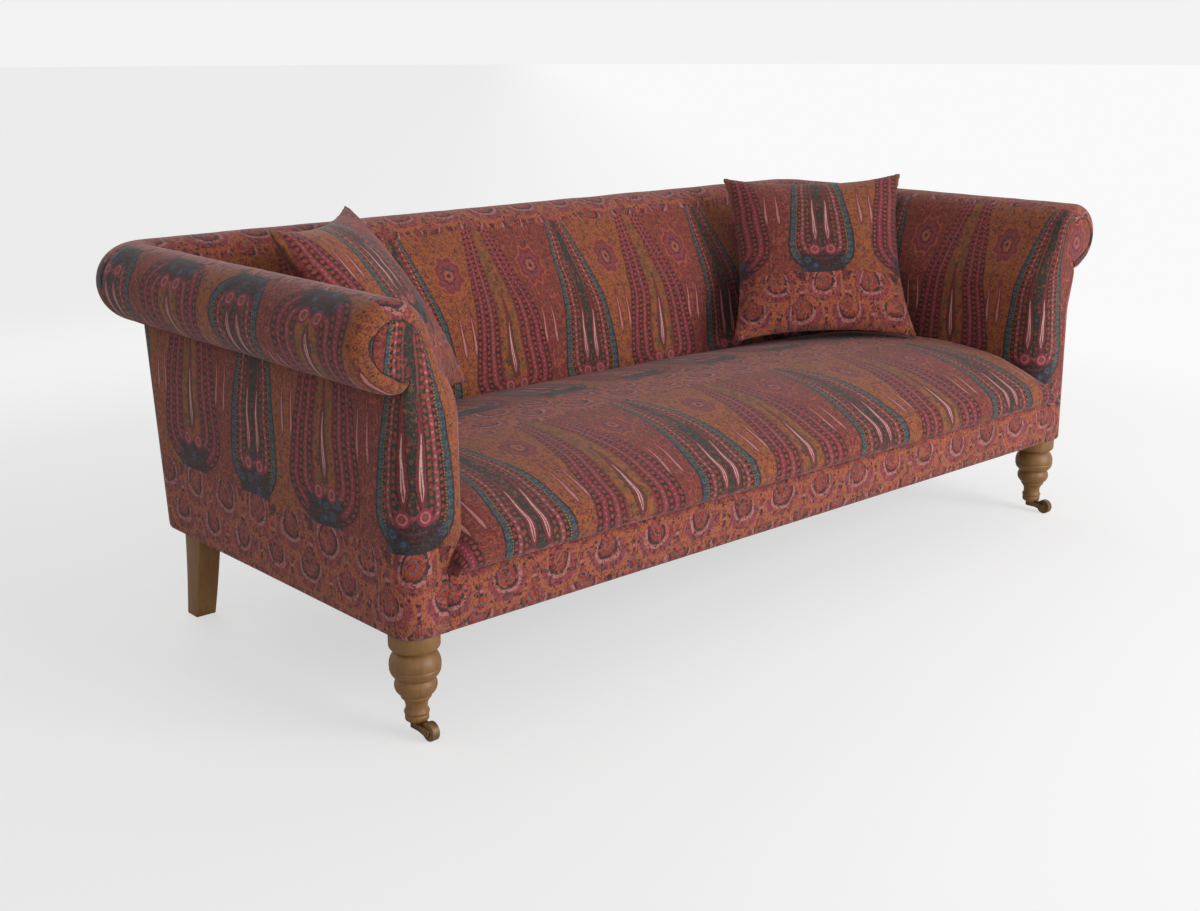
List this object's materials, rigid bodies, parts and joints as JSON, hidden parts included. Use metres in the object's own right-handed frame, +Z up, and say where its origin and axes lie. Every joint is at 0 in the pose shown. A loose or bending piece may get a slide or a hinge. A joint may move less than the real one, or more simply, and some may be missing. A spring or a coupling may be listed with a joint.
{
  "type": "english roll arm sofa",
  "caption": "Upholstered sofa with rolled arms and back, tight seat, turned front legs on castors and loose cushions.",
  "frame": {"origin": "on the floor under the middle of the sofa's overall box", "axes": "+X along the sofa towards the arm on the right as seen from in front, +Y from the front to the back, +Z up"},
  "size_m": [2.15, 1.058, 0.8204],
  "materials": {
    "shawl_cloth": "woven, matt, multicoloured shawl pattern",
    "turned_wood": "satin, mid brown",
    "frame_wood": "sawn",
    "padding": "soft filling",
    "hessian": "woven, matt",
    "webbing": "woven, matt",
    "springs": "drawn wire",
    "fittings": "zinc plated",
    "castors": "aged, brown, satin"
  },
  "bodies": {
    "sofa": {"arm_facing_left": "shawl_cloth", "arm_facing_right": "shawl_cloth", "arm_front_padding_left": "padding", "arm_front_padding_right": "padding", "arm_front_post_left": "frame_wood", "arm_front_post_right": "frame_wood", "arm_padding_left": "padding", "arm_padding_right": "padding", "arm_stuffing_rail_left": "frame_wood", "arm_stuffing_rail_right": "frame_wood", "arm_top_rail_left": "frame_wood", "arm_top_rail_right": "frame_wood", "arm_webbing_left": "webbing", "arm_webbing_right": "webbing", "back_padding": "padding", "back_post_left": "frame_wood", "back_post_right": "frame_wood", "back_rail": "frame_wood", "back_stuffing_rail": "frame_wood", "back_top_rail": "frame_wood", "back_uprights": "frame_wood", "back_webbing": "webbing", "border_wadding": "padding", "castor_plate_left": "castors", "castor_plate_right": "castors", "castor_screws": "castors", "corner_blocks": "frame_wood", "dust_cover": "hessian", "front_border": "shawl_cloth", "front_leg_left": "turned_wood", "front_leg_right": "turned_wood", "front_rail": "frame_wood", "inside_arm_cover_left": "shawl_cloth", "inside_arm_cover_right": "shawl_cloth", "inside_back_cover": "shawl_cloth", "leg_bolts": "fittings", "outside_arm_cover_left": "shawl_cloth", "outside_arm_cover_right": "shawl_cloth", "outside_back_cover": "shawl_cloth", "rear_leg_left": "turned_wood", "rear_leg_right": "turned_wood", "seat_cover": "shawl_cloth", "seat_foam": "padding", "seat_hessian": "hessian", "seat_springs": "springs", "seat_stretchers": "frame_wood", "side_rail_left": "frame_wood", "side_rail_right": "frame_wood", "spring_clips": "fittings"},
    "castor_left": {"castor_horn_left": "castors", "castor_axle_left": "castors"},
    "wheel_left": {"castor_wheel_left": "castors"},
    "cushion_left": {"cushion_cover_left": "shawl_cloth", "cushion_pad_left": "padding"},
    "castor_right": {"castor_horn_right": "castors", "castor_axle_right": "castors"},
    "wheel_right": {"castor_wheel_right": "castors"},
    "cushion_right": {"cushion_cover_right": "shawl_cloth", "cushion_pad_right": "padding"}
  },
  "joints": [
    {"name": "castor_swivel_left", "type": "hinge", "parent": "sofa", "child": "castor_left", "pos_m": [-0.95, -0.4485, 0.0185], "axis": [0, 0, 1], "continuous": true},
    {"name": "wheel_roll_left", "type": "hinge", "parent": "castor_left", "child": "wheel_left", "pos_m": [-0.95, -0.4885, 0.017], "axis": [1, 0, 0], "continuous": true},
    {"name": "cushion_lift_left", "type": "slide", "parent": "sofa", "child": "cushion_left", "axis": [0, 0, 1], "range_m": [0, 0.45]},
    {"name": "castor_swivel_right", "type": "hinge", "parent": "sofa", "child": "castor_right", "pos_m": [0.95, -0.4485, 0.0185], "axis": [0, 0, 1], "continuous": true},
    {"name": "wheel_roll_right", "type": "hinge", "parent": "castor_right", "child": "wheel_right", "pos_m": [0.95, -0.4885, 0.017], "axis": [1, 0, 0], "continuous": true},
    {"name": "cushion_lift_right", "type": "slide", "parent": "sofa", "child": "cushion_right", "axis": [0, 0, 1], "range_m": [0, 0.45]}
  ]
}
